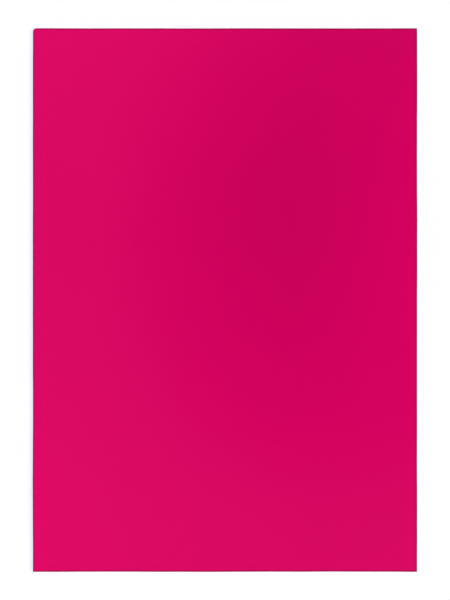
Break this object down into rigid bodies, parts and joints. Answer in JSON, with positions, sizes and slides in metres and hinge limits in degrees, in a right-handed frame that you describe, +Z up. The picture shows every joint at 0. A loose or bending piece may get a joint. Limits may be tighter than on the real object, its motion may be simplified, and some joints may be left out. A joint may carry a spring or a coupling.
{
  "type": "scoring board",
  "caption": "Flat double-sided A4 scoring board: a plain magenta face sheet and a grooved scoring plate bonded to a stiff core.",
  "frame": {"origin": "centre of the underside, on the surface the board lies on", "axes": "+X to the right across the short side, +Y along the long side, +Z up out of the plain face. The rounded corner is at -X, +Y"},
  "size_m": [0.21, 0.297, 0.004],
  "materials": {
    "face_sheet": "satin",
    "adhesive_film": "satin",
    "core_board": "matte",
    "scoring_plate": "satin"
  },
  "bodies": {
    "root": {"face_sheet": "face_sheet", "face_adhesive_film": "adhesive_film", "core_board": "core_board", "plate_adhesive_film": "adhesive_film", "scoring_plate": "scoring_plate"}
  },
  "joints": []
}
